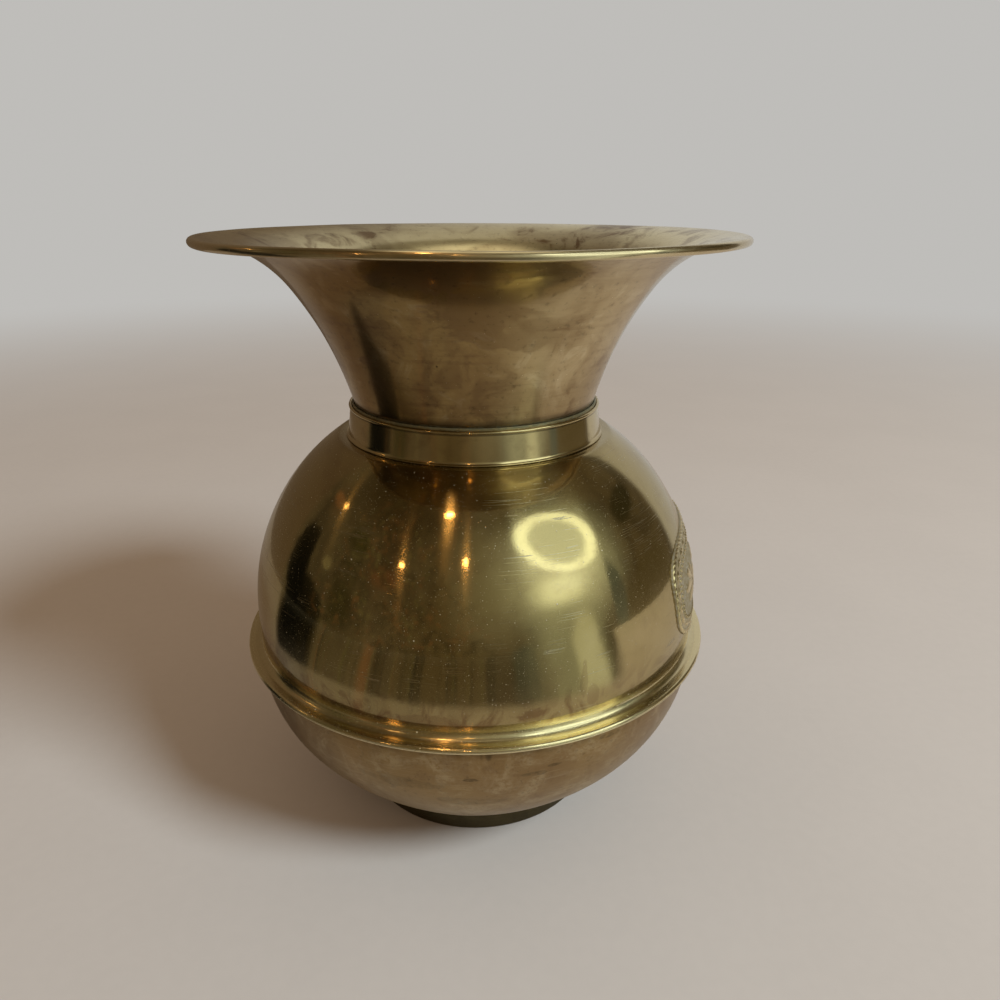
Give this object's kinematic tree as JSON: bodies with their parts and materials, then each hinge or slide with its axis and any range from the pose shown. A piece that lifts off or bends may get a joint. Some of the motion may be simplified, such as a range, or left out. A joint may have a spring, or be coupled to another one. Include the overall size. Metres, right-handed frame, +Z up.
{
  "type": "spittoon",
  "caption": "Round-bellied brass spittoon on a low foot, with a wide bell-mouthed funnel that lifts out of the collared neck.",
  "frame": {"origin": "centre of the foot, on the table", "axes": "+Z up along the axis of the vessel, through the mouth; X and Y are level"},
  "size_m": [0.228, 0.228, 0.2664],
  "materials": {
    "funnel_brass": "aged, polished unlacquered brass with brown stains",
    "body_brass": "aged, polished unlacquered brass",
    "bowl_brass": "dull, brushed brass",
    "collar_brass": "polished brass with fine lathe lines",
    "foot_brass": "dark, tarnished brass",
    "iron_wire": "drawn iron wire",
    "solder": "dull tin solder",
    "cast_weight": "rough cast iron"
  },
  "bodies": {
    "vessel": {"shoulder_shell": "body_brass", "bowl_shell": "bowl_brass", "seam_solder": "solder", "collar": "collar_brass", "collar_solder": "solder", "foot_ring": "foot_brass", "foot_solder": "solder", "base_plate": "foot_brass", "base_weight": "cast_weight"},
    "funnel": {"funnel": "funnel_brass", "rim_wire": "iron_wire"}
  },
  "joints": [
    {"name": "funnel_lift", "type": "slide", "parent": "vessel", "child": "funnel", "axis": [0, 0, 1], "range_m": [0, 0.06]}
  ]
}
